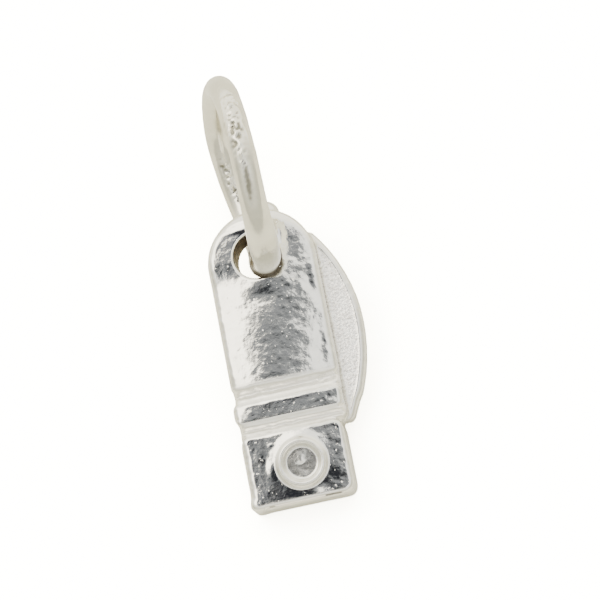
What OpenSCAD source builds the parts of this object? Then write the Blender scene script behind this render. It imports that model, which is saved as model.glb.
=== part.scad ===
// Small cast silver bar charm on a soldered jump ring, lying as it would be put down on a table.
// The charm is drawn flat on its back, with the middle of its hole at the origin, its loop end
// towards +Y and its front face up. lay_down() then tilts it onto the ring that passes through it.

/* [Charm plate] */
// Thickness of the bar, back to front face
bar_t = 1.4; // [1.2:0.05:1.5]
// Width of the long panel, which is also the diameter of its round loop end
panel_w = 3.64; // [3.5:0.02:3.8]
// How far the middle of the panel lies to the right of the hole
panel_x = 0.09; // [0.02:0.01:0.15]
// Distance from the hole down to the panel's lower edge
panel_end = 4.22; // [3.9:0.01:4.3]
// How far the middle of the loop end lies below the hole
loop_y = -0.2; // [-0.25:0.01:-0.1]
// Diameter of the hole for the jump ring
hole_d = 1.66; // [1.66:0.01:1.8]
// Width of the slope round the hole, on the front and on the back
hole_bevel = 0.12; // [0.1:0.01:0.15]
// Rounding of the plate's edges along its sides and its loop end
edge_r = 0.18; // [0.1:0.01:0.22]
// Rounding of the edges beside the grooves and at the block's lower end
end_r = 0.12; // [0.08:0.01:0.18]
// How much higher the panel is in its middle than at its sides
crown = 0.08; // [0.03:0.01:0.15]

/* [Band and block] */
// Distance from the hole down to the upper edge of the cross band
band_start = 4.68; // [4.6:0.01:4.8]
// Length of the cross band along the charm
band_l = 0.74; // [0.6:0.02:0.8]
// Width of the cross band
band_w = 3.66; // [3.6:0.02:3.8]
// How far the band's middle lies to the right of the hole
band_x = 0.04; // [0:0.01:0.1]
// Radius of the band's corners, seen from the front
band_corner_r = 0.24; // [0.23:0.01:0.3]
// Depth of the two grooves beside the band
groove_d = 0.3; // [0.15:0.05:0.45]
// Distance from the hole down to the block's upper edge
block_start = 5.88; // [5.8:0.01:6]
// Distance from the hole down to the block's lower end
block_end = 8.3; // [8.1:0.05:8.6]
// Width of the block
block_w = 3.45; // [3.3:0.01:3.5]
// How far the block's middle lies to the right of the hole
block_x = -0.02; // [-0.04:0.01:0.1]
// Radius of the block's corners, seen from the front
block_corner_r = 0.36; // [0.25:0.01:0.5]

/* [Raised ring on the block] */
// Outer diameter of the raised ring
eyelet_d = 1.7; // [1.5:0.05:1.9]
// Width of the raised ring's rim
eyelet_rim = 0.32; // [0.26:0.02:0.4]
// Height of the raised ring above the block's face
eyelet_h = 0.16; // [0.08:0.01:0.25]
// Depth of the sunk disc inside it, below the block's face
eyelet_sink = 0.06; // [0.02:0.01:0.12]
// How far the ring's middle lies to the right of the hole
eyelet_x = 0.15; // [0:0.01:0.3]
// Distance from the hole down to the ring's middle
eyelet_y = 7.06; // [7:0.01:7.15]

/* [Side wing] */
// Thickness of the low half-round wing beside the bar
wing_t = 0.66; // [0.5:0.02:0.8]
// Radius of the upper half of the wing's round edge
wing_r = 5.3; // [5:0.05:5.6]
// Radius of the lower half of the wing's round edge
wing_low_r = 6.2; // [5.8:0.1:6.6]
// How far the wing reaches to the right of the hole
wing_reach = 2.96; // [2.7:0.02:3.2]
// Distance from the hole down to the middle of the wing
wing_y = 2.65; // [2.5:0.05:2.75]
// Length of the wing along the bar
wing_l = 6.5; // [6.2:0.05:6.5]
// Rounding of the wing's edge
wing_edge_r = 0.2; // [0.1:0.01:0.24]
// Radius of the wing's lower corner, seen from the front
wing_corner_r = 0.35; // [0.1:0.05:0.5]

/* [Small knob behind the loop] */
// Radius of the knob
knob_r = 0.45; // [0.35:0.01:0.5]
// How far the knob's middle lies to the right of the hole
knob_x = 0.47; // [0.3:0.01:0.6]
// Distance from the hole up to the knob's middle
knob_y = 1.52; // [1.45:0.01:1.6]

/* [Jump ring] */
// Wire diameter
wire_d = 0.88; // [0.7:0.01:0.88]
// Outer diameter of the ring
ring_d = 6.86; // [6.8:0.02:6.9]

/* [How it lies] */
// Angle by which the ring lifts the charm's loop end
charm_tilt = 9.5; // [9.3:0.1:9.7]
// Angle by which the ring leans to the right
ring_lean = 9.1; // [8.9:0.1:9.3]
// Angle by which the ring is turned to the left, seen from above
ring_turn = 7.2; // [7:0.1:7.4]

/* [Hidden] */

round_fn = 64;
cut = 0.01;         // keeps a cutting tool clear of the face that it cuts
core_inset = 0.04;  // the plate between the raised parts is this much narrower
wire_r = wire_d / 2;
ring_r = (ring_d - wire_d) / 2;
crown_r = (panel_w * panel_w / 4 + crown * crown) / (2 * crown);
wing_low_x = wing_reach - wing_low_r;
// Middle of the rounding at the wing's lower corner
wing_corner_x = wing_low_x + sqrt(pow(wing_low_r, 2) - pow(wing_l / 2 - wing_corner_r, 2)) - wing_corner_r;

// The block's lower back edge stays on the table while the loop end is lifted
edge_height = (end_r - block_end) * sin(charm_tilt) + end_r * cos(charm_tilt) - end_r;
lift = -edge_height;

// The ring's plane holds the directions ring_along and ring_up
ring_along = [-sin(ring_turn), cos(ring_turn), 0];
ring_up = [sin(ring_lean) * cos(ring_turn), sin(ring_lean) * sin(ring_turn), cos(ring_lean)];
ring_side = cross(ring_along, ring_up);
ring_height = ring_r * cos(ring_lean) + wire_r;
// Point where the wire crosses the plate, a little to the lower right of the hole's middle
wire_shift = [0.11, -0.165];
middle = [wire_shift.x, wire_shift.y - bar_t / 2 * sin(charm_tilt), lift + bar_t / 2 * cos(charm_tilt)];
// Angle from the ring's lowest point to that crossing
ring_crossing = acos((ring_height - middle.z) / (ring_r * cos(ring_lean)));
crossing_offset = ring_r * (cos(ring_crossing) * ring_up + sin(ring_crossing) * ring_along);
ring_centre = [middle.x + crossing_offset.x, middle.y + crossing_offset.y, ring_height];

// Middle of the whole pendant's box, seen from above
box_left = band_x - band_w / 2;
box_front = (end_r - block_end) * cos(charm_tilt) - end_r
    - (bar_t - crown / 2 - end_r) * sin(charm_tilt);
box_back = ring_centre.y + ring_r * sqrt(1 - ring_side.y * ring_side.y) + wire_r;
box_middle = [(box_left + wing_reach) / 2, (box_front + box_back) / 2];

// Outline of a rectangle with rounded corners, its middle at the origin
module rounded_outline(w, h, r) {
    square([w, h - 2 * r], center = true);
    square([w - 2 * r, h], center = true);
    for (x = [-1, 1], y = [-1, 1])
        translate([x * (w / 2 - r), y * (h / 2 - r)]) circle(r, $fn = round_fn);
}

// A plate with rounded edges, from y_low to y_high, standing on the plane of the charm's back
module rounded_block(x, w, y_low, y_high, t, corner_r) {
    l = y_high - y_low;
    translate([x, y_low + l / 2, t / 2])
        intersection() {
            linear_extrude(t, center = true) rounded_outline(w, l, corner_r);
            rotate([90, 0, 0]) linear_extrude(l, center = true) rounded_outline(w, t, edge_r);
            rotate([90, 0, 90]) linear_extrude(w, center = true) rounded_outline(l, t, end_r);
        }
}

// A disc with a rounded edge, or a half or other share of one
module rounded_disc(r, t, rim_r, share = 360) {
    rotate_extrude(angle = share, $fn = 2 * round_fn) {
        square([r - rim_r, t]);
        translate([0, rim_r]) square([r, t - 2 * rim_r]);
        for (z = [rim_r, t - rim_r])
            translate([r - rim_r, z]) circle(rim_r, $fn = round_fn);
    }
}

// The long panel: a half-disc for the loop end and a straight shank, which meet face to face
module panel_plate() {
    shank_l = panel_end + loop_y;
    translate([panel_x, loop_y, 0]) {
        rounded_disc(panel_w / 2, bar_t, edge_r, share = 180);
        translate([0, 0, bar_t / 2])
            intersection() {
                rotate([90, 0, 0]) linear_extrude(shank_l) rounded_outline(panel_w, bar_t, edge_r);
                rotate([90, 0, 90])
                    linear_extrude(2 * panel_w, center = true)
                        rounded_outline(2 * shank_l, bar_t, end_r);
            }
    }
}

// The panel's face is a little higher along its middle
module panel() {
    intersection() {
        panel_plate();
        translate([panel_x, 0, bar_t - crown_r])
            rotate([90, 0, 0])
                cylinder(r = crown_r, h = 4 * block_end, center = true, $fn = 720);
    }
}

// The plate that shows between the raised parts, as wide as the panel down to the block
module core() {
    rounded_block(panel_x, panel_w - 2 * core_inset, -block_start - core_inset, -panel_end / 2,
                  bar_t - groove_d, block_corner_r);
    rounded_block(block_x, block_w - 2 * core_inset, core_inset - block_end, -band_start,
                  bar_t - groove_d, block_corner_r);
}

module band() {
    rounded_block(band_x, band_w, -band_start - band_l, -band_start, bar_t - crown / 2, band_corner_r);
}

module block() {
    rounded_block(block_x, block_w, -block_end, -block_start, bar_t - crown / 2, block_corner_r);
}

// Raised ring with a round top
module eyelet() {
    rim_r = eyelet_rim / 2;
    translate([eyelet_x, -eyelet_y, bar_t - crown / 2])
        rotate_extrude($fn = round_fn)
            translate([eyelet_d / 2 - rim_r, 0]) {
                translate([-rim_r, -2 * groove_d / 3]) square([eyelet_rim, 2 * groove_d / 3]);
                intersection() {
                    translate([0, eyelet_h - rim_r]) circle(rim_r, $fn = round_fn);
                    translate([-rim_r, -rim_r / 2]) square([eyelet_rim, 2 * rim_r]);
                }
            }
}

module eyelet_disc() {
    translate([eyelet_x, -eyelet_y, bar_t - crown / 2 - eyelet_sink])
        cylinder(d = eyelet_d - 2 * eyelet_rim, h = eyelet_sink + cut, $fn = round_fn);
}

// Low half-round wing on the right, with a rounded edge
module wing() {
    intersection() {
        translate([0, -wing_y, 0]) {
            translate([wing_reach - wing_r, 0]) rounded_disc(wing_r, wing_t, wing_edge_r, share = 90);
            mirror([0, 1, 0])
                translate([wing_low_x, 0])
                    rounded_disc(wing_low_r, wing_t, wing_edge_r, share = 90);
        }
        translate([0, -wing_y - wing_l / 2, -cut])
            linear_extrude(wing_t + 2 * cut) {
                translate([hole_d, wing_corner_r]) square([wing_reach, wing_l - wing_corner_r]);
                translate([hole_d, 0]) square([wing_corner_x - hole_d, wing_l]);
                translate([wing_corner_x, wing_corner_r]) circle(wing_corner_r, $fn = round_fn);
            }
    }
}

module knob() {
    translate([knob_x, knob_y, knob_r]) sphere(knob_r, $fn = round_fn);
}

module hole() {
    translate([0, 0, -cut]) cylinder(d = hole_d, h = bar_t + 2 * cut, $fn = round_fn);
    translate([0, 0, bar_t - hole_bevel])
        cylinder(d1 = hole_d, d2 = hole_d + 2 * (hole_bevel + cut), h = hole_bevel + cut, $fn = round_fn);
    translate([0, 0, -cut])
        cylinder(d1 = hole_d + 2 * (hole_bevel + cut), d2 = hole_d, h = hole_bevel + cut, $fn = round_fn);
}

// The charm lies on the block's lower back edge and on the ring
module lay_down() {
    translate([-box_middle.x, -box_middle.y, lift]) rotate([charm_tilt, 0, 0]) children();
}

module charm() {
    color("silver")
        lay_down()
            difference() {
                union() {
                    panel();
                    core();
                    band();
                    block();
                    eyelet();
                    wing();
                    knob();
                }
                hole();
                eyelet_disc();
            }
}

// The ring stands on its edge, held up by the hole that it passes through
module jump_ring() {
    color("lightgray")
        translate([ring_centre.x - box_middle.x, ring_centre.y - box_middle.y, ring_centre.z])
            multmatrix([
                [ring_along.x, ring_up.x, ring_side.x, 0],
                [ring_along.y, ring_up.y, ring_side.y, 0],
                [ring_along.z, ring_up.z, ring_side.z, 0],
                [0, 0, 0, 1]])
                rotate_extrude($fn = 2 * round_fn)
                    translate([ring_r, 0]) circle(wire_r, $fn = round_fn);
}

charm();
jump_ring();
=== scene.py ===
import bpy
import bmesh
import math
from mathutils import Matrix, Vector, noise


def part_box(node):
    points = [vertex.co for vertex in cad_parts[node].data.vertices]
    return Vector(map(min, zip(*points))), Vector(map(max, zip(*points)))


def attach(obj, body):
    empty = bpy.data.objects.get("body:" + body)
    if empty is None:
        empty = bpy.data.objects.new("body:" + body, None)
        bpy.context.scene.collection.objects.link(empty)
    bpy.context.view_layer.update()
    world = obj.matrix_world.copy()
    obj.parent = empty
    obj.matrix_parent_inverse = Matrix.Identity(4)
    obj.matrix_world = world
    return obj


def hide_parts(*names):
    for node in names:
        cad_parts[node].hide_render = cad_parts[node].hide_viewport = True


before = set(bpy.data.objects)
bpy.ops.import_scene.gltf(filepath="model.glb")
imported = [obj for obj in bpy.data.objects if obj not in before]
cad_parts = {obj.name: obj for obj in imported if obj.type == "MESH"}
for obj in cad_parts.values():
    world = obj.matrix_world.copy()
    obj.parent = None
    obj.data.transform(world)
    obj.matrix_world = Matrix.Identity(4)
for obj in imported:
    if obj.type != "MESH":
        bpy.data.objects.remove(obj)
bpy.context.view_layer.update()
millimetre = 0.001  # pieces are shaped in millimetres and brought to metres at the end
print("frame loaded:", sorted(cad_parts))


# The charm lies on its back, tipped up at the loop end. Its own frame has the hole at the origin,
# the loop towards +Y and the front face up, as on the drawing.
charmPlan = {
    "tilt": math.radians(9.5),
    "thickness": 1.4,
    "restRounding": 0.12,   # of the block's lower edge, which the charm rests on
    "panelX": 0.09,
    "panelHalf": 1.82,
    "loopY": -0.2,
    "panelEnd": -4.22,
    "grooveInset": 0.04,    # the bar is this much narrower in its grooves
    "bandTop": -4.68,
    "bandEnd": -5.5,        # the band and the block reach a little further towards each other
    "blockTop": -5.8,       # than in the plain solid
    "bandX": 0.04,
    "bandHalf": 1.83,
    "bandCorner": 0.24,
    "blockEnd": -8.3,
    "blockX": -0.02,
    "blockHalf": 1.725,
    "blockCorner": 0.36,
    "blockDrop": 0.04,      # the band's and block's faces are lower than the middle of the panel
    "holeRadius": 0.83,
    "eyelet": Vector((0.15, -7.06)),   # the raised ring on the block
    "eyeletMiddle": 0.7,
    "eyeletHalf": 0.16,
    "eyeletHeight": 0.16,
    "eyeletSink": 0.06,     # the disc in it lies this much lower than the block's face
    "wingY": -2.65,
    "wingArcs": ((5.3, -2.34), (6.2, -3.24)),   # radius and middle of the upper and the lower half
}


def charmPlace():
    # from the charm's own frame, in millimetres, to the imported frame, in metres
    plan = charmPlan
    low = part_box("charm")[0]
    slope = math.sin(plan["tilt"])
    level = math.cos(plan["tilt"])
    reach = -plan["blockEnd"] - plan["restRounding"]
    rise = plan["thickness"] - plan["blockDrop"] - plan["restRounding"]
    holeX = low.x / millimetre + plan["bandHalf"] - plan["bandX"]
    holeY = low.y / millimetre + reach * level + plan["restRounding"] + rise * slope
    lift = reach * slope + plan["restRounding"] * (1 - level)
    moved = Matrix.Translation((holeX, holeY, lift)) @ Matrix.Rotation(plan["tilt"], 4, "X")
    return Matrix.Scale(millimetre, 4) @ moved


def link(name, data):
    thing = bpy.data.objects.new(name, data)
    bpy.context.scene.collection.objects.link(thing)
    return thing


def editMesh(mesh, work):
    bm = bmesh.new()
    bm.from_mesh(mesh)
    work(bm)
    bm.to_mesh(mesh)
    bm.free()


def smoothStep(value, start, end):
    # goes smoothly from 0 to 1 between start and end
    t = min(max((value - start) / (end - start), 0), 1)
    return t * t * (3 - 2 * t)


def smoothPiece(name, mesh, material):
    mesh.materials.append(material)
    mesh.polygons.foreach_set("use_smooth", [True] * len(mesh.polygons))
    return link(name, mesh)


# Camera, at the photo's angle: from above the block's end and a little from the right
cameraPlan = {
    "azimuth": math.radians(15.43),
    "elevation": math.radians(66.34),
    "lean": math.radians(11.0),   # the charm leans this much to the left in the photo
    "distance": 0.1,
    "focalLength": 181.8,
    "sensor": 36.0,
    "clip": (0.005, 2.0),
    "middleRight": 1.12,          # from the hole to the middle of the photo, across and along the charm
    "middleUp": -1.71,
}


def makeCamera():
    plan = cameraPlan
    eye = Vector((
        math.cos(plan["elevation"]) * math.sin(plan["azimuth"]),
        -math.cos(plan["elevation"]) * math.cos(plan["azimuth"]),
        math.sin(plan["elevation"]),
    ))
    place = charmPlace()
    hole = place @ Vector((0, 0, charmPlan["thickness"]))
    along = (place.to_3x3() @ Vector((0, 1, 0))).normalized()
    right = along.cross(eye).normalized()
    up = eye.cross(right)
    middle = hole + millimetre * (plan["middleRight"] * right + plan["middleUp"] * up)
    stand = hole + eye * plan["distance"]
    back = (stand - middle).normalized()
    photoUp = right * math.sin(plan["lean"]) + up * math.cos(plan["lean"])
    photoRight = photoUp.cross(back).normalized()
    photoUp = back.cross(photoRight)
    data = bpy.data.cameras.new("camera")
    data.lens = plan["focalLength"]
    data.sensor_width = plan["sensor"]
    data.clip_start, data.clip_end = plan["clip"]
    camera = link("camera", data)
    turn = Matrix((photoRight, photoUp, back)).transposed()
    camera.matrix_world = Matrix.Translation(stand) @ turn.to_4x4()
    bpy.context.scene.camera = camera


# Shader nodes. A value is another node's output, or a plain number or colour.
def feed(tree, socket, value):
    if hasattr(value, "links"):
        tree.links.new(value, socket)
    else:
        socket.default_value = value


def noiseNode(tree, coords, size, detail, roughness):
    # size is the size of a feature, in millimetres
    node = tree.nodes.new("ShaderNodeTexNoise")
    node.inputs["Scale"].default_value = 1 / (size * millimetre)
    node.inputs["Detail"].default_value = detail
    node.inputs["Roughness"].default_value = roughness
    tree.links.new(coords, node.inputs["Vector"])
    return node.outputs["Fac"]


def bumpNode(tree, height, distance, strength, normal=None):
    node = tree.nodes.new("ShaderNodeBump")
    node.inputs["Distance"].default_value = distance * millimetre
    tree.links.new(height, node.inputs["Height"])
    feed(tree, node.inputs["Strength"], strength)
    if normal:
        tree.links.new(normal, node.inputs["Normal"])
    return node.outputs["Normal"]


def mapNode(tree, value, fromRange, toRange=(0, 1), way="LINEAR"):
    node = tree.nodes.new("ShaderNodeMapRange")
    node.interpolation_type = way
    node.inputs["From Min"].default_value = fromRange[0]
    node.inputs["From Max"].default_value = fromRange[1]
    node.inputs["To Min"].default_value = toRange[0]
    node.inputs["To Max"].default_value = toRange[1]
    tree.links.new(value, node.inputs["Value"])
    return node.outputs["Result"]


def timesNode(tree, first, second):
    node = tree.nodes.new("ShaderNodeMath")
    node.operation = "MULTIPLY"
    feed(tree, node.inputs[0], first)
    feed(tree, node.inputs[1], second)
    return node.outputs["Value"]


def mixNode(tree, kind, share, first, second):
    node = tree.nodes.new("ShaderNodeMix")
    node.data_type = kind
    feed(tree, node.inputs["A"], first)
    feed(tree, node.inputs["B"], second)
    tree.links.new(share, node.inputs["Factor"])
    return node.outputs["Result"]


def mixColor(tree, share, first, second):
    return mixNode(tree, "RGBA", share, first, second)


def mixValue(tree, share, first, second):
    return mixNode(tree, "FLOAT", share, first, second)


def maskNode(tree, name):
    node = tree.nodes.new("ShaderNodeAttribute")
    node.attribute_name = name
    return node.outputs["Fac"]


def newMaterial(name):
    material = bpy.data.materials.new(name)
    material.use_nodes = True
    tree = material.node_tree
    return material, tree, tree.nodes["Principled BSDF"]


# Floor and light tent. Directions in the tent are given by X and Y; straight up is 0, 0.
lightPlan = {
    "floorSize": 0.5,
    "floorColor": (0.92, 0.9, 0.8, 1),
    "floorSeen": (9.0, 9.0, 8.95, 1),   # what the camera sees is overexposed, as in the photo
    # colour of the tent's front by height: 0 is level with the floor, 1 straight overhead
    "tent": ((0.0, (0.98, 0.95, 0.76)), (0.4, (1.1, 1.07, 0.86)), (0.8, (1.65, 1.62, 1.4)),
             (0.93, (2.0, 1.98, 1.85)), (1.0, (2.2, 2.2, 2.1))),
    "tentScale": 6.0,                   # a ramp holds colours up to 1, so the tent is scaled up
    "back": (2.7, 2.6, 2.2),
    "backRange": (-0.1, 0.7),
    "horizon": (-0.1, 0.05),            # the back and the patches end here
}

# Round patches of the tent, each over the ones before it
tentPatches = (
    # bright window
    {"color": (5.1, 4.8, 4.1), "middle": (-0.38, 0.24), "radius": 0.29, "soft": 0.07},
    # dark opening, where the camera looks in
    {"color": (0.38, 0.395, 0.41), "middle": (-0.107, -0.088), "radius": 0.205, "soft": 0.03},
    # the room behind it
    {"color": (0.03, 0.032, 0.04), "middle": (-0.107, -0.135), "radius": 0.145, "soft": 0.04},
)


def makeFloor():
    plan = lightPlan
    bm = bmesh.new()
    bmesh.ops.create_grid(bm, x_segments=1, y_segments=1, size=plan["floorSize"])
    mesh = bpy.data.meshes.new("floor")
    bm.to_mesh(mesh)
    bm.free()
    floor = link("floor", mesh)
    material, tree, shader = newMaterial("paleFloor")
    rays = tree.nodes.new("ShaderNodeLightPath")
    seen = mixColor(tree, rays.outputs["Is Camera Ray"], plan["floorColor"], plan["floorSeen"])
    tree.links.new(seen, shader.inputs["Base Color"])
    shader.inputs["Roughness"].default_value = 1
    shader.inputs["Specular IOR Level"].default_value = 0
    mesh.materials.append(material)


def patchShare(tree, direction, patch):
    # 1 within a round patch of the tent, 0 outside it
    distance = tree.nodes.new("ShaderNodeVectorMath")
    distance.operation = "DISTANCE"
    tree.links.new(direction, distance.inputs[0])
    distance.inputs[1].default_value = (*patch["middle"], 0)
    edge = (patch["radius"] + patch["soft"], patch["radius"] - patch["soft"])
    return mapNode(tree, distance.outputs["Value"], edge, way="SMOOTHSTEP")


def makeTent():
    plan = lightPlan
    scale = plan["tentScale"]
    world = bpy.data.worlds.new("tent")
    bpy.context.scene.world = world
    world.use_nodes = True
    tree = world.node_tree
    direction = tree.nodes.new("ShaderNodeTexCoord")
    split = tree.nodes.new("ShaderNodeSeparateXYZ")
    tree.links.new(direction.outputs["Generated"], split.inputs["Vector"])
    flat = tree.nodes.new("ShaderNodeCombineXYZ")
    tree.links.new(split.outputs["X"], flat.inputs["X"])
    tree.links.new(split.outputs["Y"], flat.inputs["Y"])
    ramp = tree.nodes.new("ShaderNodeValToRGB")
    tree.links.new(split.outputs["Z"], ramp.inputs["Fac"])
    stops = ramp.color_ramp.elements
    while len(stops) < len(plan["tent"]):
        stops.new(0.5)   # moved to its height below
    for stop, (height, color) in zip(stops, plan["tent"]):
        stop.position = height
        stop.color = [part / scale for part in color] + [1]
    color = ramp.outputs["Color"]
    layers = [(mapNode(tree, split.outputs["Y"], plan["backRange"], way="SMOOTHSTEP"), plan["back"])]
    for patch in tentPatches:
        layers.append((patchShare(tree, flat.outputs["Vector"], patch), patch["color"]))
    overHorizon = mapNode(tree, split.outputs["Z"], plan["horizon"], way="SMOOTHSTEP")
    for share, layerColor in layers:
        layerColor = [part / scale for part in layerColor] + [1]
        color = mixColor(tree, timesNode(tree, share, overHorizon), color, layerColor)
    background = tree.nodes["Background"]
    tree.links.new(color, background.inputs["Color"])
    background.inputs["Strength"].default_value = scale


# Cast silver of the charm. Sizes and bumps are in millimetres, and a range is the part of a noise
# or a mask that goes from none to full.
castFinish = {
    "color": (0.89, 0.88, 0.84, 1),
    "worn": (0.72, 0.71, 0.67, 1),
    "wornSize": 0.3,
    "wornRange": (0.45, 0.62),
    "wornShare": 0.5,
    "roughness": (0.05, 0.1),
    "roughSize": 0.25,
    "roughRange": (0.42, 0.66),
    "dullColor": (0.99, 0.97, 0.92, 1),     # in the grooves
    "dullRange": (0.75, 1.0),
    "dullRoughness": 0.3,
    "satinColor": (1.0, 0.99, 0.98, 1),     # on the sandblasted face of the wing
    "satinHollow": (0.74, 0.71, 0.69, 1),
    "satinRange": (0.5, 0.6),
    "satinRoughness": 0.12,
    "paintedShadeColor": (0.3, 0.245, 0.175, 1),   # painted shade on the wall of the hole and in the crease beside the wing
    "paintedShadeRoughness": 0.45,
    "coarseSize": 0.16,
    "coarseBump": 0.006,
    "coarseStrength": 0.45,
    "fineSize": 0.09,
    "fineBump": 0.06,
    "fineStrength": (0.03, 0.5),            # where it is polished and where it is sandblasted
    "pitSize": 0.1,
    "pitRange": (0.73, 0.87),
    "pitBump": 0.02,
    "pitStrength": 0.4,
}


def castSilver():
    plan = castFinish
    material, tree, shader = newMaterial("castSilver")
    shader.inputs["Metallic"].default_value = 1
    coords = tree.nodes.new("ShaderNodeTexCoord").outputs["Object"]
    satin = maskNode(tree, "satin")
    # painted shade: darkens the wall of the hole and the crease beside the wing
    paintedShade = maskNode(tree, "paintedShade")
    dull = maskNode(tree, "dull")
    patches = noiseNode(tree, coords, plan["wornSize"], detail=5, roughness=0.65)
    specks = noiseNode(tree, coords, plan["roughSize"], detail=4, roughness=0.6)
    coarse = noiseNode(tree, coords, plan["coarseSize"], detail=2, roughness=0.5)
    fine = noiseNode(tree, coords, plan["fineSize"], detail=3, roughness=0.6)
    pits = noiseNode(tree, coords, plan["pitSize"], detail=1, roughness=0.4)
    worn = timesNode(tree, mapNode(tree, patches, plan["wornRange"]), plan["wornShare"])
    polished = mixColor(tree, worn, plan["color"], plan["worn"])
    polished = mixColor(tree, mapNode(tree, dull, plan["dullRange"]), polished, plan["dullColor"])
    hollow = mapNode(tree, fine, plan["satinRange"])
    blasted = mixColor(tree, hollow, plan["satinColor"], plan["satinHollow"])
    color = mixColor(tree, satin, polished, blasted)
    tree.links.new(mixColor(tree, paintedShade, color, plan["paintedShadeColor"]), shader.inputs["Base Color"])
    rough = mapNode(tree, specks, plan["roughRange"], plan["roughness"])
    rough = mixValue(tree, dull, rough, plan["dullRoughness"])
    rough = mixValue(tree, satin, rough, plan["satinRoughness"])
    tree.links.new(mixValue(tree, paintedShade, rough, plan["paintedShadeRoughness"]), shader.inputs["Roughness"])
    normal = bumpNode(tree, coarse, plan["coarseBump"], plan["coarseStrength"])
    normal = bumpNode(tree, fine, plan["fineBump"], mixValue(tree, satin, *plan["fineStrength"]), normal)
    pitted = mapNode(tree, pits, plan["pitRange"])
    normal = bumpNode(tree, pitted, plan["pitBump"], plan["pitStrength"], normal)
    tree.links.new(normal, shader.inputs["Normal"])
    return material


# The casting: its own soft edges, uneven polished faces and sandblasted wing.
# Its face is worked as heights above the charm's back, by place on the drawing.
# A pair is where a share starts and where it is full.
castingPlan = {
    "voxel": 0.038,
    "weld": 0.0005,
    "lowest": 0.75,                 # what lies lower than this is not part of the face
    "carveBeyond": 0.05,            # the face is carved to this far outside its outline
    "maskInside": (0.015, 0.05),    # the face grows to full at this distance from its outline
    "maskHole": (0, 0.025),         # and from the edge of the hole
    # rounds of smoothing: all over, then in the grooves, near the raised ring and along the edges
    "softening": 2,
    "grooveSoftening": 6,
    "beadSoftening": 4,
    "beadWidth": 0.4,
    "edgeSoftening": 4,
    "edgeWidth": 0.09,
    # roundings
    "sideRounding": (0.25, 0.15),   # left and right
    "sideChange": (-0.8, 0.8),
    "endRounding": 0.12,
    "wanderInside": 0.2,            # the wander of the edges fades out over this, towards the outline
    "holeRounding": 0.07,
    "holeSlope": 0.5,
    # crowns, in steepness per millimetre from the middle
    "panelCrown": 0.085,
    "rightCrown": 0.068,
    "loopCrown": 0.02,
    "bandCrown": 0.03,
    "bandMiddle": 0.34,
    "blockCrown": 0.034,
    "blockMiddle": 0.13,
    "crownReach": 0.2,              # the panel's and the band's go on this far into the groove
    "loopAlong": (-1.0, 0.1),       # where the left half of the loop is flatter
    "loopAcross": (0.4, -0.4),
    "loopLean": 0.006,
    "panelTwist": 0.0147,           # the panel leans more to the right towards the loop
    "panelTwistStart": -1.9,
    "panelTwistEnd": -0.6,
    "ridgeMiddle": Vector((0.05, -0.85)),   # beyond this arc the loop falls away to its edge
    "ridgeRadius": 2.14,
    "ridgeSlope": 0.45,
    "ridgeSoft": 0.05,
    # where each groove starts to fall, is deepest and meets the next face
    "grooves": ((-4.22, -4.45, -4.8), (-5.47, -5.66, -5.91)),
    "grooveDepth": 0.28,
    "shoulderWidth": 0.06,          # soft edge of the band and the block towards the loop
    "shoulderSlope": 0.22,
    "shoulderFade": 0.4,
    # soft mound at the raised ring's foot, highest on the side towards the band
    "footHeight": 0.032,
    "footInside": 0.1,
    "footWidth": 0.3,
    "footSide": math.radians(105),
    "footPower": 2.5,
    # the cast hole is tighter than drilled, and more so at its lower right
    "holeTighter": 0.03,
    "holeUneven": 0.085,
    "holeNear": (1.18, 0.85),
    # sandblasted face of the wing, a little lower than its polished rim
    "rimWidth": 0.24,
    "rimSoft": 0.03,
    "satinStep": 0.02,
    "satinSide": (-0.02, 0.05),
    "satinTop": (0.78, 0.73),
    "satinFoot": (0.46, 0.56),
    "satinEnd": (-5.75, -5.65),
    # painted shade on the wall of the hole, between its two polished rims
    "shadeRadius": (0.88, 0.84),
    "shadeSteep": (0.5, 0.25),
    "shadeStart": 1.28,
    "shadeDeeper": 0.2,             # it starts lower at the hole's lower right
    "shadeSoft": 0.06,
    # a little painted shade in the crease between the bar and the wing
    "creaseShade": 0.14,
    "creaseWidth": 0.07,
    "creaseTop": (0.96, 0.86),
    "creaseFoot": (0.3, 0.6),
    # softer polish: in and beside the grooves, at the lower edge, on the raised ring and its disc
    "dullBefore": (0.16, 0.04),
    "dullAfter": (-0.02, 0.05),
    "dullEnd": (-8.1, -8.2),
    "dullDisc": 0.5,
    "dullBead": 0.7,
    "dullBeadSoft": 0.1,
    # waves of the walls: size and height
    "wallWave": (0.5, 0.003),
    # grain of the face, as a share of full: all over, less in the grooves and more at both sides
    "grainLevel": 3,                # of the noise that it is taken from
    "grainShare": 0.8,
    "grainRight": 0.7,
    "grainRightRange": (-0.2, 1.2),
    "grainLeft": 0.3,
    "grainLeftRange": (-0.5, -1.2),
    "grainGroove": 0.6,
    "placeReach": 6,                # an uneven place ends at this squared distance, in half-lengths
}

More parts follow.
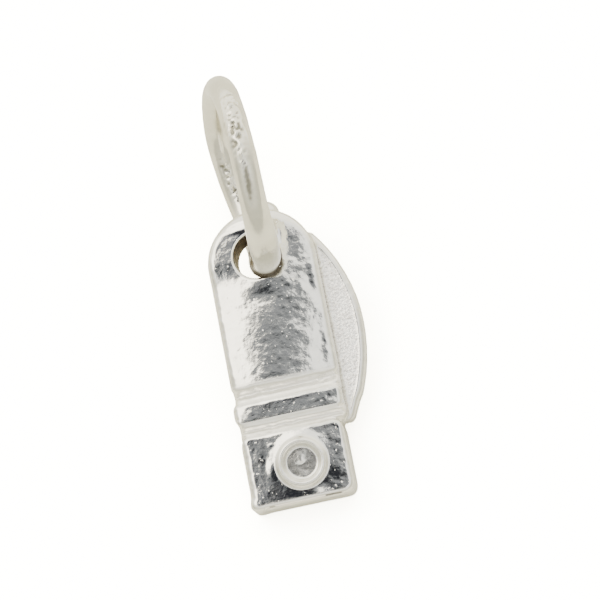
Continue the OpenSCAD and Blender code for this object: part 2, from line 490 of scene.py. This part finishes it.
# Uneven places of the cast face: x, y, half-length across and along, rise, slope across, slope along
unevenPlaces = (
    (1.3, 0.2, 0.4, 0.8, 0, 0.025, 0.02),
    (-0.62, 1.03, 0.4, 0.1, 0, 0.05, -0.22),
    (0.88, 0.45, 0.11, 0.32, 0, -0.15, 0),
    (-0.05, -1.12, 0.5, 0.42, 0, 0, 0.055),
    (0.0, -7.5, 2.5, 1.6, 0, 0, 0.012),
    (-0.96, -6.95, 0.14, 0.28, 0, 0.09, -0.03),
    (1.62, -1.0, 0.16, 0.6, 0, 0.055, 0),
    (1.62, -3.05, 0.16, 0.26, 0, 0.07, 0),
    (1.6, -3.75, 0.2, 0.42, 0, 0.07, 0),
    (1.2, -2.5, 0.15, 0.2, 0, 0.04, 0.02),
    (1.1, -1.3, 0.2, 0.15, 0, 0.04, 0),
    (-1.65, -4.9, 0.4, 0.7, 0, 0.02, -0.12),
    (-0.9, -4.72, 0.7, 0.2, 0, 0, -0.04),
    (0.3, -4.8, 0.25, 0.1, 0, 0, -0.05),
    (1.3, -5.1, 0.03, 0.12, 0.004, 0, 0),
    (0.6, -8.05, 0.18, 0.3, 0, 0, -0.09),
    (0.05, -8.07, 0.04, 0.15, 0.006, 0, 0),
    (-0.75, -6.3, 0.1, 0.08, 0.006, 0, 0),
)

# Wander of its edges, and waves, dimples and grain of its face and of the disc: size and height
edgeWander = ((0.5, 0.03), (0.2, 0.02))
faceGrain = ((0.9, 0.004), (0.4, 0.003), (0.2, 0.0018), (0.11, 0.001))
discGrain = ((0.3, 0.004), (0.15, 0.0035), (0.09, 0.0012))

# Corners that are fuller than plain arcs: place, move, where the move ends and is full, and from
# where to where it grows across
fullerCorners = (
    (Vector((2.25, -5.65)), Vector((0.05, 0.2, 0)), (0.8, 0.1), (1.91, 2.25)),   # of the wing
    (Vector((-1.72, -8.28)), Vector((-0.07, -0.02, 0)), (0.6, 0.05), None),      # of the block
    (Vector((-1.72, -8.28)), Vector((-0.04, -0.03, 0)), (0.4, 0.1), None),
)


def rounding(distance, radius):
    # how far a rounded edge has dropped, at a distance inside its outline
    inner = radius - min(max(distance, 0), radius)
    return radius - math.sqrt(radius * radius - inner * inner)


def grain(x, y, waves):
    level = castingPlan["grainLevel"]
    return sum(noise.noise(Vector((x, y, level * size)) / size) * height for size, height in waves)


def barShare(x, y):
    # distance inside the bar's outline, and how much of it is to an end instead of to a side
    plan = charmPlan
    if y > plan["loopY"]:
        return plan["panelHalf"] - math.hypot(x - plan["panelX"], y - plan["loopY"]), 0
    if y > plan["panelEnd"]:
        return plan["panelHalf"] - abs(x - plan["panelX"]), 0
    for name in ("band", "block"):
        top = plan[name + "Top"]
        end = plan[name + "End"]
        corner = plan[name + "Corner"]
        if end < y < top:
            acrossGap = max(corner - plan[name + "Half"] + abs(x - plan[name + "X"]), 0)
            alongGap = max(corner - min(top - y, y - end), 0)
            share = alongGap / max(acrossGap + alongGap, 0.0001)
            return corner - math.hypot(acrossGap, alongGap), share
    return plan["panelHalf"] - plan["grooveInset"] - abs(x - plan["panelX"]), 0


def grooveShare(y):
    # 1 at the bottom of a groove, 0 on the raised faces
    for start, bottom, end in castingPlan["grooves"]:
        if end < y < start:
            t = (y - start) / (bottom - start) if y > bottom else (y - end) / (bottom - end)
            return t * t * (3 - t) / 2
    return 0


def shoulderDrop(y):
    # the soft edge after each groove fades out within the groove
    plan = castingPlan
    drop = 0
    for start, bottom, end in plan["grooves"]:
        beyond = y - end + plan["shoulderWidth"]
        if 0 < beyond < plan["shoulderFade"]:
            fade = smoothStep(beyond, plan["shoulderFade"], plan["shoulderWidth"])
            drop += plan["shoulderSlope"] * min(beyond, plan["shoulderWidth"]) * fade
    return drop


def crownHeight(x, y, groove):
    # crown, lean and drop of the panel, the band and the block
    plan = castingPlan
    height = 0
    if y > charmPlan["panelEnd"] - plan["crownReach"]:
        middle = charmPlan["panelX"]
        crown = plan["rightCrown"] if x > middle else plan["panelCrown"]
        loop = smoothStep(y, *plan["loopAlong"]) * smoothStep(x, *plan["loopAcross"])
        crown += (plan["loopCrown"] - crown) * loop
        height += plan["loopLean"] * loop * y
        twisted = min(y, plan["panelTwistEnd"]) - plan["panelTwistStart"]
        height += plan["panelTwist"] * twisted * (x - middle)
    else:
        part = "band" if y > charmPlan["bandEnd"] - plan["crownReach"] else "block"
        crown = plan[part + "Crown"]
        middle = plan[part + "Middle"]
        height -= charmPlan["blockDrop"] * (1 - groove)
    return height - crown / 2 * (x - middle) ** 2


def eyeletRadius(point):
    return (Vector((point.x, point.y)) - charmPlan["eyelet"]).length


def eyeletHeight(x, y):
    # the raised ring, its sunk disc and the mound at its foot
    plan = charmPlan
    casting = castingPlan
    away = Vector((x, y)) - plan["eyelet"]
    radius = away.length
    bead = max(1 - ((radius - plan["eyeletMiddle"]) / plan["eyeletHalf"]) ** 2, 0)
    height = plan["eyeletHeight"] * bead
    outer = plan["eyeletMiddle"] + plan["eyeletHalf"]
    side = 0.5 + 0.5 * math.cos(math.atan2(away.y, away.x) - casting["footSide"])
    mound = smoothStep(radius, outer + casting["footWidth"], outer - casting["footInside"])
    height += casting["footHeight"] * side ** casting["footPower"] * mound
    disc = smoothStep(radius, plan["eyeletMiddle"], plan["eyeletMiddle"] - plan["eyeletHalf"])
    return height - disc * (plan["eyeletSink"] + grain(x, y, discGrain))


def placesHeight(x, y):
    height = 0
    for placeX, placeY, across, along, rise, slopeX, slopeY in unevenPlaces:
        awayX = x - placeX
        awayY = y - placeY
        reach = (awayX / across) ** 2 + (awayY / along) ** 2
        if reach < castingPlan["placeReach"]:
            height += math.exp(-reach) * (rise + slopeX * awayX + slopeY * awayY)
    return height


def faceHeight(x, y):
    plan = castingPlan
    wander = grain(x, y, edgeWander)
    groove = grooveShare(y + wander)
    height = charmPlan["thickness"] - plan["grooveDepth"] * groove - shoulderDrop(y + wander)
    height += crownHeight(x, y, groove)
    if y > plan["ridgeMiddle"].y:
        beyond = (Vector((x, y)) - plan["ridgeMiddle"]).length - plan["ridgeRadius"]
        height -= plan["ridgeSlope"] * (beyond + math.hypot(beyond, plan["ridgeSoft"])) / 2
    distance, endShare = barShare(x, y)
    distance += wander * (1 - endShare) * smoothStep(distance, 0, plan["wanderInside"])
    left, right = plan["sideRounding"]
    radius = left + (right - left) * smoothStep(x, *plan["sideChange"])
    height -= rounding(distance, radius + (plan["endRounding"] - radius) * endShare)
    holeEdge = charmPlan["holeRadius"] + plan["holeRounding"] - math.hypot(x, y)
    height -= plan["holeSlope"] * max(holeEdge, 0)
    if y < charmPlan["blockTop"]:
        height += eyeletHeight(x, y)
    height += placesHeight(x, y)
    uneven = plan["grainShare"] - plan["grainGroove"] * groove
    uneven += plan["grainRight"] * smoothStep(x, *plan["grainRightRange"])
    uneven += plan["grainLeft"] * smoothStep(x, *plan["grainLeftRange"])
    return height + grain(x, y, faceGrain) * uneven


def faceMask(point):
    # 1 well inside the bar's face, 0 at its outline and its hole
    distance = barShare(point.x, point.y)[0]
    radius = math.hypot(point.x, point.y) - charmPlan["holeRadius"]
    return smoothStep(distance, *castingPlan["maskInside"]) * smoothStep(radius, *castingPlan["maskHole"])


def satinMask(point):
    # 1 on the sandblasted face of the wing, 0 on its polished rim and elsewhere
    plan = castingPlan
    arcRadius, middle = charmPlan["wingArcs"][0 if point.y > charmPlan["wingY"] else 1]
    inside = arcRadius - plan["rimWidth"] - math.hypot(point.x - middle, point.y - charmPlan["wingY"])
    beside = point.x - charmPlan["panelX"] - charmPlan["panelHalf"]
    mask = smoothStep(inside, -plan["rimSoft"], plan["rimSoft"]) * smoothStep(beside, *plan["satinSide"])
    mask *= smoothStep(point.z, *plan["satinTop"]) * smoothStep(point.z, *plan["satinFoot"])
    return mask * smoothStep(point.y, *plan["satinEnd"])


def lowerRight(point):
    # 1 at the lower right of the hole, 0 at its upper left
    diagonal = 2.83   # twice the root of two
    return 0.5 + (point.x - point.y) / (diagonal * max(math.hypot(point.x, point.y), 0.01))


# painted shade: dark on the wall of the hole, and a little in the crease between the bar and the wing
def paintedShadeMask(point, normal):
    plan = castingPlan
    wall = smoothStep(math.hypot(point.x, point.y), *plan["shadeRadius"])
    wall *= smoothStep(abs(normal.z), *plan["shadeSteep"])
    start = plan["shadeStart"] - plan["shadeDeeper"] * lowerRight(point)
    wall *= smoothStep(point.z, start, start - plan["shadeSoft"])
    beside = point.x - charmPlan["panelX"] - charmPlan["panelHalf"]
    # a little painted shade in the crease beside the wing
    crease = math.exp(-(beside / plan["creaseWidth"]) ** 2)
    crease *= smoothStep(point.z, *plan["creaseTop"]) * smoothStep(point.z, *plan["creaseFoot"])
    return max(wall, plan["creaseShade"] * crease)


def dullMask(point):
    plan = castingPlan
    if point.z < plan["lowest"]:
        return 0
    mask = smoothStep(point.y, *plan["dullEnd"])
    for start, bottom, end in plan["grooves"]:
        before = smoothStep(point.y - start, *plan["dullBefore"])
        after = smoothStep(point.y - end, *plan["dullAfter"])
        mask = max(mask, before * after)
    radius = eyeletRadius(point)
    middle = charmPlan["eyeletMiddle"]
    half = charmPlan["eyeletHalf"]
    disc = smoothStep(radius, middle, middle - half)
    bead = smoothStep(abs(radius - middle), half + plan["dullBeadSoft"], half)
    return max(mask, plan["dullDisc"] * disc, plan["dullBead"] * bead)


def holeMove(point):
    plan = castingPlan
    radius = math.hypot(point.x, point.y)
    near = smoothStep(radius, *plan["holeNear"])
    if near == 0:
        return Vector()
    inwards = near * (plan["holeTighter"] + plan["holeUneven"] * lowerRight(point))
    return Vector((point.x, point.y, 0)) * (-inwards / radius)


def cornerMove(point):
    total = Vector()
    for place, move, near, across in fullerCorners:
        share = smoothStep((Vector((point.x, point.y)) - place).length, *near)
        if across:
            share *= smoothStep(point.x, *across)
        total += move * share
    return total


def weldSolid(bm):
    bmesh.ops.remove_doubles(bm, verts=bm.verts, dist=castingPlan["weld"])


def remeshed(mesh):
    # the same solid as an even skin of small faces
    piece = link("work", mesh)
    remesh = piece.modifiers.new("remesh", "REMESH")
    remesh.mode = "VOXEL"
    remesh.voxel_size = castingPlan["voxel"]
    skin = bpy.data.meshes.new_from_object(piece.evaluated_get(bpy.context.evaluated_depsgraph_get()))
    bpy.data.objects.remove(piece)
    return skin


def carveFace(bm):
    # bring what belongs to the face to its height, and keep the walls below it
    plan = castingPlan
    for vert in bm.verts:
        point = vert.co
        if point.z > plan["lowest"] and barShare(point.x, point.y)[0] > -plan["carveBeyond"]:
            height = faceHeight(point.x, point.y)
            lower = min(point.z, height)
            point.z = lower + (height - lower) * faceMask(point)


def relax(bm, chosen, rounds, acrossToo):
    for turn in range(rounds):
        bmesh.ops.smooth_vert(bm, verts=chosen, factor=0.5,
                              use_axis_x=acrossToo, use_axis_y=acrossToo, use_axis_z=True)


def shapeFace(bm):
    plan = castingPlan
    relax(bm, bm.verts, plan["softening"], True)
    carveFace(bm)
    high = [vert for vert in bm.verts if vert.co.z > plan["lowest"]]
    grooved = [vert for vert in high if grooveShare(vert.co.y) > 0]
    relax(bm, grooved, plan["grooveSoftening"], False)
    bead = [vert for vert in high
            if abs(eyeletRadius(vert.co) - charmPlan["eyeletMiddle"]) < plan["beadWidth"]]
    relax(bm, bead, plan["beadSoftening"], False)
    edge = [vert for vert in high if abs(barShare(vert.co.x, vert.co.y)[0]) < plan["edgeWidth"]]
    relax(bm, edge, plan["edgeSoftening"], True)


def finishSkin(bm):
    # the masks for the finishes and for the painted shade, and the small moves of the walls, the hole and
    # the corners
    plan = castingPlan
    waveSize, waveHeight = plan["wallWave"]
    bm.normal_update()
    satinLayer = bm.verts.layers.float.new("satin")
    paintedShadeLayer = bm.verts.layers.float.new("paintedShade")
    dullLayer = bm.verts.layers.float.new("dull")
    moves = []
    for vert in bm.verts:
        point = vert.co
        satin = satinMask(point)
        vert[satinLayer] = satin
        vert[paintedShadeLayer] = paintedShadeMask(point, vert.normal)
        vert[dullLayer] = dullMask(point)
        wave = noise.noise(point / waveSize) * waveHeight * (1 - satin) - plan["satinStep"] * satin
        onFace = faceMask(point) if point.z > plan["lowest"] else 0
        moves.append(vert.normal * wave * (1 - onFace) + holeMove(point) + cornerMove(point))
    for vert, move in zip(bm.verts, moves):
        vert.co += move


def makeCharm():
    place = charmPlace()
    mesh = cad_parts["charm"].data.copy()
    mesh.materials.clear()
    mesh.transform(place.inverted())
    editMesh(mesh, weldSolid)
    mesh = remeshed(mesh)
    editMesh(mesh, carveFace)   # carved twice, so that the new slopes get faces of their own
    mesh = remeshed(mesh)
    editMesh(mesh, shapeFace)
    editMesh(mesh, finishSkin)
    mesh.transform(place)
    mesh.name = "silverCharm"
    piece = smoothPiece("silverCharm", mesh, castSilver())
    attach(piece, "root")
    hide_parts("charm")
    print("charm:", len(mesh.polygons), "faces")


# Silver of the wire, with painted shade where it goes into the hole
ringFinish = {
    "color": (0.84, 0.82, 0.74, 1),
    "worn": (0.68, 0.665, 0.585, 1),
    "patchSize": 0.8,
    "wornRange": (0.4, 0.65),
    "wornShare": 0.6,
    "roughness": (0.11, 0.24),
    "roughRange": (0.3, 0.7),
    "pitColor": (0.22, 0.21, 0.17, 1),   # in the dents of the joint
    # painted shade, dark and not metallic, on the wire at the hole
    "paintedShadeColor": (0.06, 0.045, 0.028, 1),
    "paintedShadeRoughness": 0.6,
    "specular": 0.15,                    # of the painted shade
    "grainSize": 0.14,
    "grainBump": 0.008,
    "grainStrength": 0.3,
}


def ringSilver():
    plan = ringFinish
    material, tree, shader = newMaterial("ringSilver")
    shader.inputs["Specular IOR Level"].default_value = plan["specular"]
    coords = tree.nodes.new("ShaderNodeTexCoord").outputs["Object"]
    # the painted shade near the hole is dark, rough and not metallic
    paintedShade = maskNode(tree, "paintedShade")
    patches = noiseNode(tree, coords, plan["patchSize"], detail=4, roughness=0.55)
    fine = noiseNode(tree, coords, plan["grainSize"], detail=3, roughness=0.6)
    worn = timesNode(tree, mapNode(tree, patches, plan["wornRange"]), plan["wornShare"])
    color = mixColor(tree, worn, plan["color"], plan["worn"])
    color = mixColor(tree, maskNode(tree, "pit"), color, plan["pitColor"])
    tree.links.new(mixColor(tree, paintedShade, color, plan["paintedShadeColor"]), shader.inputs["Base Color"])
    tree.links.new(mixValue(tree, paintedShade, 1.0, 0.0), shader.inputs["Metallic"])
    rough = mapNode(tree, patches, plan["roughRange"], plan["roughness"])
    tree.links.new(mixValue(tree, paintedShade, rough, plan["paintedShadeRoughness"]), shader.inputs["Roughness"])
    normal = bumpNode(tree, fine, plan["grainBump"], plan["grainStrength"])
    tree.links.new(normal, shader.inputs["Normal"])
    return material


# The jump ring: round wire, a little twisted, with the dents and lumps of a closed and soldered ring.
# Angles along it start at its end farthest from the charm's block, and go up from there.
ringPlan = {
    "wireRadius": 0.44,
    "radius": 2.99,
    "lean": math.radians(9.1),
    "turn": math.radians(7.2),
    "steps": 400,
    "sides": 56,
    "weld": 0.0005,
    "twistStart": math.radians(9.5),
    "twist": 0.113,              # how far the ring is bent out of its plane
    "twistEven": -0.012,
    "twistThird": 0.025,
    # through the hole the wire is a little thicker, and bent a little to the right and inwards
    "bendRise": (math.radians(130), math.radians(166)),
    "bendFall": (math.radians(242), math.radians(212)),
    "bendRight": 0.075,
    "bendOut": -0.03,
    "bendThicker": 0.06,
    "hookLeft": 0.11,            # and where it goes down into the hole, to the left
    "hookRange": (math.radians(178), math.radians(200)),
    "drawnAlong": 1.6,           # the wire's drawing lines
    "drawnAround": 0.16,
    "drawnHeight": 0.003,
    "waveSize": 1.1,
    "waveSeed": Vector((2, 9, 4)),
    "waveHeight": 0.012,
    "dentSize": 0.35,
    "dentHeight": 0.005,
    "markSize": 0.12,
    "markSeed": Vector((5, 3, 8)),
    "markContrast": 2,
    "pitDepth": 1 / 60,          # a dent this deep has the full colour of a pit
    # painted shade: the wire is dark close to the rim of the hole, by distance from the hole's middle and
    # by height
    "shadeInner": (0.3, 0.65),
    "shadeOuter": (1.3, 1.1),
    "shadeFoot": (-0.3, 0),
    "shadeTop": (2.05, 1.65),
}

# Lumps and dents of the soldered joint: angle along the ring and round the wire (0 is outwards),
# half-length along and across, height, unevenness
ringMarks = (
    (71, 6, 0.36, 0.24, 0.035, 0.055),
    (86, -12, 0.34, 0.22, -0.015, 0.07),
    (89, -18, 0.16, 0.14, -0.03, 0),
    (97, -28, 0.15, 0.12, -0.03, 0),
    (92, -34, 0.08, 0.07, 0.018, 0),
    (103, -12, 0.36, 0.18, 0.03, 0.03),
    (114, -8, 0.5, 0.1, -0.022, 0.006),
    (123, -14, 0.3, 0.08, -0.016, 0.01),
    (-54, -156, 0.07, 0.07, -0.03, 0),
    (-66, -170, 0.75, 0.16, 0.004, 0.032),
)


def markHeight(along, around, place):
    plan = ringPlan
    height = 0
    uneven = noise.noise(place / plan["markSize"] + plan["markSeed"]) * plan["markContrast"]
    for markAlong, markAround, length, width, rise, rough in ringMarks:
        awayAlong = math.remainder(along - math.radians(markAlong), 2 * math.pi) * plan["radius"]
        awayAround = math.remainder(around - math.radians(markAround), 2 * math.pi) * plan["wireRadius"]
        near = math.exp(-(awayAlong / length) ** 2 - (awayAround / width) ** 2)
        height += near * (rise + rough * uneven)
    return height


def surfaceHeight(along, around, place):
    # slow waves, dents and drawing lines of the wire
    plan = ringPlan
    wave = noise.noise(place / plan["waveSize"] + plan["waveSeed"]) * plan["waveHeight"]
    dent = noise.noise(place / plan["dentSize"]) * plan["dentHeight"]
    drawn = Vector((along * plan["radius"] / plan["drawnAlong"],
                    around * plan["wireRadius"] / plan["drawnAround"], 0))
    return wave + dent + noise.noise(drawn) * plan["drawnHeight"]


def bendMove(along, place, inHole):
    # twist out of the ring's plane, and the bend through the hole
    plan = ringPlan
    start = along - plan["twistStart"]
    twist = plan["twist"] * math.sin(2 * start) + plan["twistEven"] * math.cos(2 * start)
    twist += plan["twistThird"] * math.cos(3 * start)
    hook = smoothStep(along % (2 * math.pi), *plan["hookRange"])
    move = Vector((place.x, place.y, 0)).normalized() * plan["bendOut"] * inHole
    move.z = twist + (plan["bendRight"] - plan["hookLeft"] * hook) * inHole
    return move


def shapeWire(bm):
    plan = ringPlan
    pitLayer = bm.verts.layers.float.new("pit")
    moves = []
    for vert in bm.verts:
        along = math.atan2(vert.co.y, vert.co.x)
        around = math.atan2(vert.co.z, math.hypot(vert.co.x, vert.co.y) - plan["radius"])
        turned = along % (2 * math.pi)
        inHole = smoothStep(turned, *plan["bendRise"]) * smoothStep(turned, *plan["bendFall"])
        mark = markHeight(along, around, vert.co)
        height = surfaceHeight(along, around, vert.co) + mark + plan["bendThicker"] * inHole
        vert[pitLayer] = min(max(-mark / plan["pitDepth"], 0), 1)
        moves.append(vert.normal * height + bendMove(along, vert.co, inHole))
    for vert, move in zip(bm.verts, moves):
        vert.co += move


def gridPlace(corners):
    # number of a corner, an edge or a face of the wire's grid, along the ring and then round the wire
    plan = ringPlan
    middle = sum((vert.co for vert in corners), Vector((0, 0, 0))) / len(corners)
    along = math.atan2(middle.y, middle.x)
    around = math.atan2(middle.z, math.hypot(middle.x, middle.y) - plan["radius"])
    column = round(along / math.pi * plan["steps"]) % (2 * plan["steps"])
    row = round(around / math.pi * plan["sides"]) % (2 * plan["sides"])
    return column * 2 * plan["sides"] + row


def ringPlace():
    plan = ringPlan
    along = Vector((-math.sin(plan["turn"]), math.cos(plan["turn"]), 0))
    leanSide = Vector((math.cos(plan["turn"]), math.sin(plan["turn"]), 0))
    up = leanSide * math.sin(plan["lean"]) + Vector((0, 0, math.cos(plan["lean"])))
    turned = Matrix((along, up, along.cross(up))).transposed().to_4x4()
    low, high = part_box("jump_ring")
    return Matrix.Translation((low + high) / 2) @ turned @ Matrix.Scale(millimetre, 4)


def shadeWire(bm):
    # painted shade on the wire close to the rim of the hole
    plan = ringPlan
    toCharm = charmPlace().inverted()
    paintedShadeLayer = bm.verts.layers.float.new("paintedShade")
    for vert in bm.verts:
        point = toCharm @ vert.co
        radius = math.hypot(point.x, point.y)
        nearRim = smoothStep(radius, *plan["shadeInner"]) * smoothStep(radius, *plan["shadeOuter"])
        height = smoothStep(point.z, *plan["shadeFoot"]) * smoothStep(point.z, *plan["shadeTop"])
        vert[paintedShadeLayer] = nearRim * height


def makeRing():
    plan = ringPlan
    bm = bmesh.new()
    bmesh.ops.create_circle(bm, segments=plan["sides"], radius=plan["wireRadius"])
    bmesh.ops.translate(bm, verts=bm.verts, vec=(plan["radius"], 0, 0))
    bmesh.ops.rotate(bm, verts=bm.verts, cent=(0, 0, 0), matrix=Matrix.Rotation(math.pi / 2, 3, "X"))
    bmesh.ops.spin(bm, geom=bm.verts[:] + bm.edges[:], cent=(0, 0, 0), axis=(0, 0, 1), angle=2 * math.pi,
                   steps=plan["steps"], use_merge=True, use_duplicate=False)
    bmesh.ops.remove_doubles(bm, verts=bm.verts, dist=plan["weld"])
    bmesh.ops.recalc_face_normals(bm, faces=bm.faces)
    bm.verts.sort(key=lambda vert: gridPlace([vert]))   # spinning doesn't always list them in one order
    bm.edges.sort(key=lambda edge: gridPlace(edge.verts))
    bm.faces.sort(key=lambda face: gridPlace(face.verts))
    bm.normal_update()
    shapeWire(bm)
    bmesh.ops.transform(bm, verts=bm.verts, matrix=ringPlace())
    shadeWire(bm)
    mesh = bpy.data.meshes.new("jumpRing")
    bm.to_mesh(mesh)
    bm.free()
    piece = smoothPiece("silverRing", mesh, ringSilver())
    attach(piece, "root")
    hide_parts("jump_ring")
    print("ring:", len(mesh.polygons), "faces")


makeCamera()
makeFloor()
makeTent()
print("camera, floor and light tent made")
makeCharm()
makeRing()
